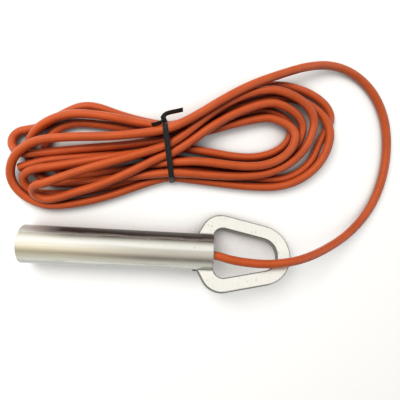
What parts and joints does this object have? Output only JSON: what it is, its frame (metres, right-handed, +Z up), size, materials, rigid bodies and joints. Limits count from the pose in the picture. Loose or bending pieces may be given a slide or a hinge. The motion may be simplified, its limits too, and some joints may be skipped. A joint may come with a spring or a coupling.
{
  "type": "tilt switch",
  "caption": "Tilt switch probe: slotted zinc plated steel tube with a flat hanging eye, a ball switch capsule inside and an orange cable tied in a hank.",
  "frame": {"origin": "below the middle of the probe (tube and eye, without the cable), on the surface it lies on", "axes": "+X along the tube towards the eye, +Z up from the surface, +Y across"},
  "size_m": [0.2847, 0.173, 0.0276],
  "materials": {
    "zinc_tube": "satin zinc plate",
    "zinc_plug": "satin zinc plate",
    "zinc_eye": "bright zinc plate",
    "potting": "cast resin",
    "cable_jacket": "satin orange jacket",
    "core_brown": "core insulation",
    "core_blue": "core insulation",
    "crimp_tin": "tinned",
    "shrink_sleeve": "shrunk sleeve",
    "holder_nylon": "moulded",
    "can_nickel": "nickel plate",
    "header_resin": "moulded resin",
    "contact_brass": "plated",
    "buffer_rubber": "elastomer",
    "ball_steel": "polished",
    "tie_plastic": "plastic covered wire"
  },
  "bodies": {
    "probe": {"body_tube": "zinc_tube", "end_plug": "zinc_plug", "hanger_eye": "zinc_eye", "potting_plug": "potting", "cable_inner": "cable_jacket", "core_signal": "core_brown", "core_return": "core_blue", "crimp_signal": "crimp_tin", "crimp_return": "crimp_tin", "sleeve_signal": "shrink_sleeve", "sleeve_return": "shrink_sleeve", "lead_can": "core_brown", "lead_pin": "core_blue", "switch_holder": "holder_nylon", "capsule_can": "can_nickel", "capsule_header": "header_resin", "contact_pin": "contact_brass", "buffer_pad": "buffer_rubber", "cable_lead": "cable_jacket", "cable_hank": "cable_jacket", "twist_tie": "tie_plastic"},
    "ball": {"tilt_ball": "ball_steel"}
  },
  "joints": [
    {"name": "ball_roll", "type": "slide", "parent": "probe", "child": "ball", "axis": [1, 0, 0], "range_m": [0, 0.009]}
  ]
}
